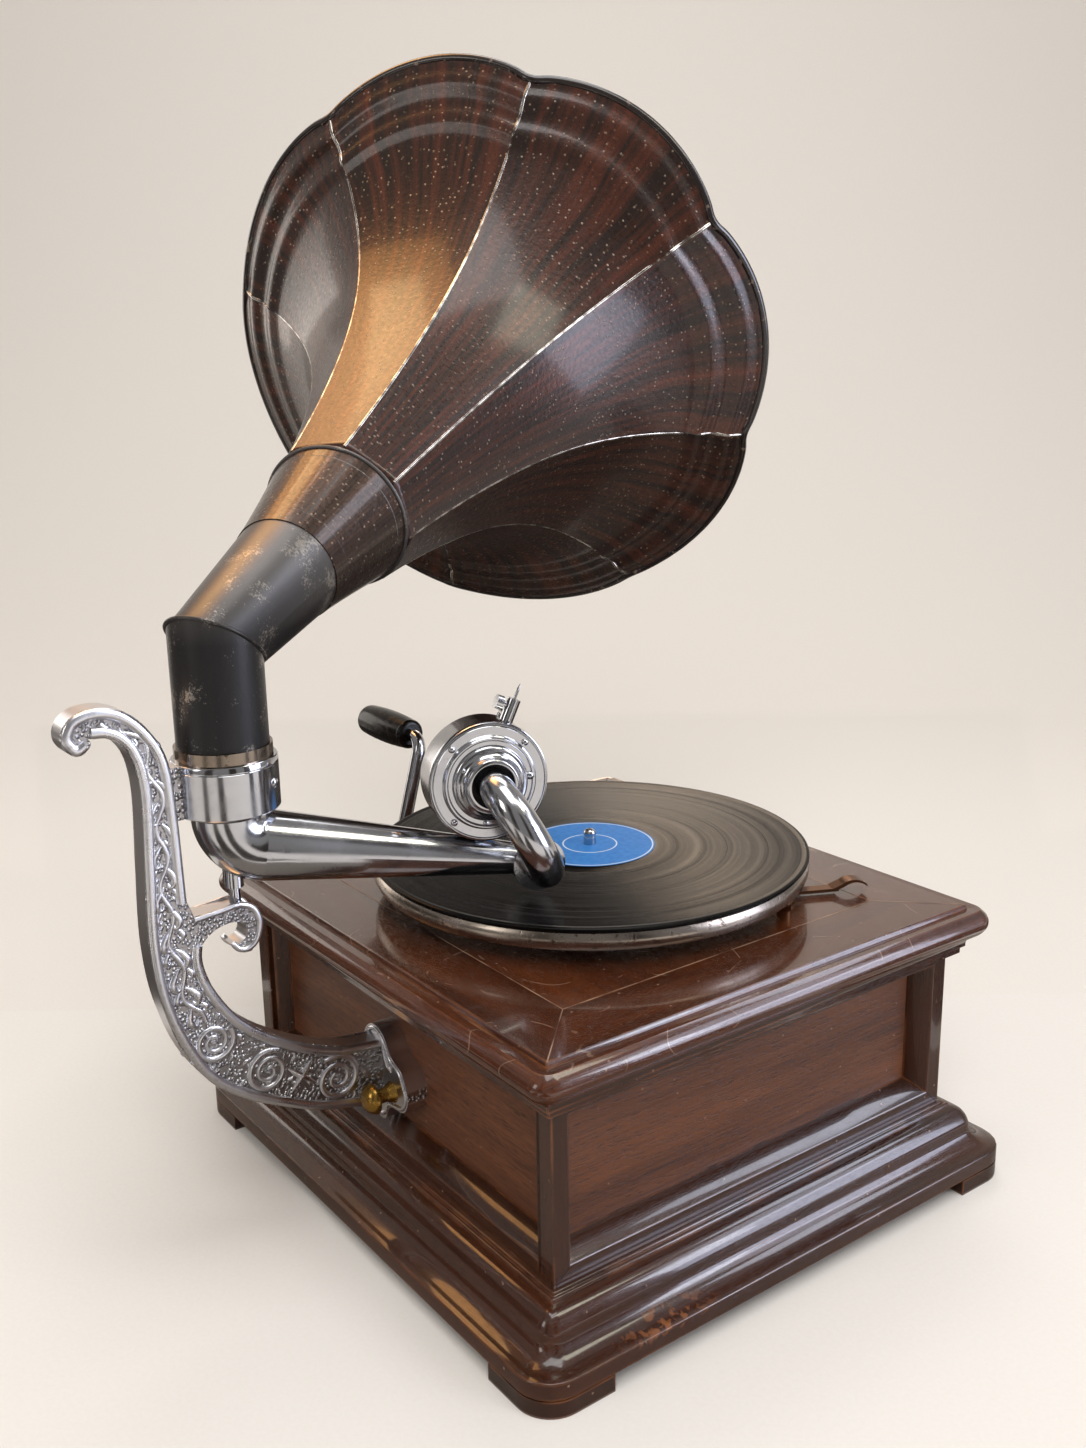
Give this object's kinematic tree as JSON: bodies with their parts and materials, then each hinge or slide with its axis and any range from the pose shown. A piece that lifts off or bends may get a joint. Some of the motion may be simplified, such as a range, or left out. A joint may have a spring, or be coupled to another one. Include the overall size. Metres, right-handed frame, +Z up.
{
  "type": "gramophone",
  "caption": "Table gramophone: wooden case with spring motor, turntable and crank, and a cast rear bracket that carries a flared horn, swinging tone arm and tilting sound box.",
  "frame": {"origin": "on the floor under the middle of the wooden case, at the height of the foot soles", "axes": "+X right seen from the front, +Y to the back (bracket side), +Z up"},
  "size_m": [0.5675, 0.5112, 0.6434],
  "materials": {
    "mahogany": "dark varnish, worn at the edges",
    "nickel": "polished nickel plate",
    "cast_nickel": "cast, nickel plated, with scroll relief",
    "brass": "turned",
    "motor_steel": "plain steel",
    "spring_steel": "blued",
    "rubber": "soft black",
    "felt": "pressed felt",
    "shellac": "grooved gloss",
    "label_paper": "printed paper",
    "mica": "thin sheet",
    "ebonite": "polished black",
    "black_paint": "chipped black paint",
    "horn_paint": "wood-grain paint with speckles",
    "rim_paint": "dark worn paint",
    "bronze": "browned"
  },
  "bodies": {
    "case": {"plinth_moulding": "mahogany", "corner_feet": "mahogany", "bottom_board": "mahogany", "corner_beads": "mahogany", "case_back": "mahogany", "case_front": "mahogany", "case_left": "mahogany", "case_right": "mahogany", "back_panel": "mahogany", "front_panel": "mahogany", "left_panel": "mahogany", "right_panel": "mahogany", "cornice": "mahogany", "lid_border": "mahogany", "lid_board": "mahogany", "motor_top_plate": "motor_steel", "motor_base_plate": "motor_steel", "motor_pillars": "motor_steel", "motor_bushes": "rubber", "governor_brackets": "motor_steel", "crank_bush": "nickel", "horn_bracket": "cast_nickel", "horn_collar": "nickel", "pivot_pin": "nickel", "brake_post": "bronze"},
    "turntable": {"turntable": "nickel", "turntable_felt": "felt", "record": "shellac", "record_label": "label_paper", "spindle": "motor_steel", "governor_drive_wheel": "brass"},
    "train": {"train_wheel": "brass"},
    "barrel": {"spring_barrel": "brass", "mainspring": "spring_steel"},
    "governor": {"governor_shaft": "motor_steel", "governor_weights": "brass", "governor_springs": "spring_steel"},
    "winding": {"barrel_arbor": "motor_steel", "winding_gear": "brass"},
    "crank": {"crank": "nickel"},
    "grip": {"crank_grip": "ebonite"},
    "horn": {"horn_elbow": "black_paint", "elbow_ferrule": "brass", "horn_neck": "horn_paint", "horn_panels": "horn_paint", "horn_rim": "rim_paint"},
    "tone_arm": {"tone_arm": "nickel"},
    "gooseneck": {"gooseneck": "nickel", "sound_box_shell": "nickel", "sound_box_back": "nickel", "neck_isolator": "rubber", "diaphragm": "mica", "sound_box_gaskets": "rubber", "stylus_bar": "nickel", "needle": "spring_steel", "sound_box_screws": "nickel"},
    "needle_screw": {"needle_screw": "nickel"},
    "thumb_screw_left": {"thumb_screw_left": "brass"},
    "thumb_screw_right": {"thumb_screw_right": "brass"},
    "brake": {"brake_lever": "bronze"}
  },
  "joints": [
    {"name": "turntable_spin", "type": "hinge", "parent": "case", "child": "turntable", "pos_m": [0, -0.004, 0.18], "axis": [0, 0, 1], "continuous": true},
    {"name": "train_spin", "type": "hinge", "parent": "case", "child": "train", "pos_m": [0.02425, -0.04011, 0.068], "axis": [0, 0, 1], "continuous": true},
    {"name": "barrel_spin", "type": "hinge", "parent": "case", "child": "barrel", "pos_m": [0.062, -0.0081, 0.06], "axis": [0, 0, 1], "continuous": true},
    {"name": "governor_spin", "type": "hinge", "parent": "case", "child": "governor", "pos_m": [0, -0.0294, 0.107], "axis": [1, 0, 0], "continuous": true},
    {"name": "crank_turn", "type": "hinge", "parent": "case", "child": "crank", "pos_m": [0.14, -0.0081, 0.108], "axis": [1, 0, 0], "continuous": true},
    {"name": "winding_turn", "type": "hinge", "parent": "case", "child": "winding", "pos_m": [0.062, -0.0081, 0.06], "axis": [0, 0, 1], "continuous": true},
    {"name": "grip_spin", "type": "hinge", "parent": "crank", "child": "grip", "pos_m": [0.27, -0.0324, 0.19684], "axis": [1, 0, 0], "continuous": true},
    {"name": "horn_swivel", "type": "hinge", "parent": "case", "child": "horn", "pos_m": [0.008, 0.212, 0.28], "axis": [0, 0, 1], "range_deg": [-124, 55]},
    {"name": "tone_arm_swing", "type": "hinge", "parent": "case", "child": "tone_arm", "pos_m": [0.008, 0.212, 0.25], "axis": [0, 0, 1], "range_deg": [-20, 50]},
    {"name": "gooseneck_tilt", "type": "hinge", "parent": "tone_arm", "child": "gooseneck", "pos_m": [-0.04016, 0.06467, 0.20505], "axis": [0.9505, -0.3107, 0], "range_deg": [0, 104]},
    {"name": "needle_screw_turn", "type": "hinge", "parent": "gooseneck", "child": "needle_screw", "pos_m": [-0.03684, 0.07483, 0.28865], "axis": [0.2851, 0.8723, 0.3971], "continuous": true},
    {"name": "thumb_screw_left_turn", "type": "hinge", "parent": "case", "child": "thumb_screw_left", "pos_m": [-0.007, 0.138, 0.08], "axis": [0, 1, 0], "continuous": true},
    {"name": "thumb_screw_right_turn", "type": "hinge", "parent": "case", "child": "thumb_screw_right", "pos_m": [0.023, 0.138, 0.08], "axis": [0, 1, 0], "continuous": true},
    {"name": "brake_swing", "type": "hinge", "parent": "case", "child": "brake", "pos_m": [-0.087, -0.076, 0.166], "axis": [0, 0, 1], "range_deg": [0, 12]}
  ],
  "couplings": [
    {"joint": "train_spin", "follows": "turntable_spin", "ratio": -0.20833},
    {"joint": "barrel_spin", "follows": "turntable_spin", "ratio": 0.037202},
    {"joint": "governor_spin", "follows": "turntable_spin", "ratio": 10},
    {"joint": "winding_turn", "follows": "crank_turn", "ratio": 0.5}
  ]
}
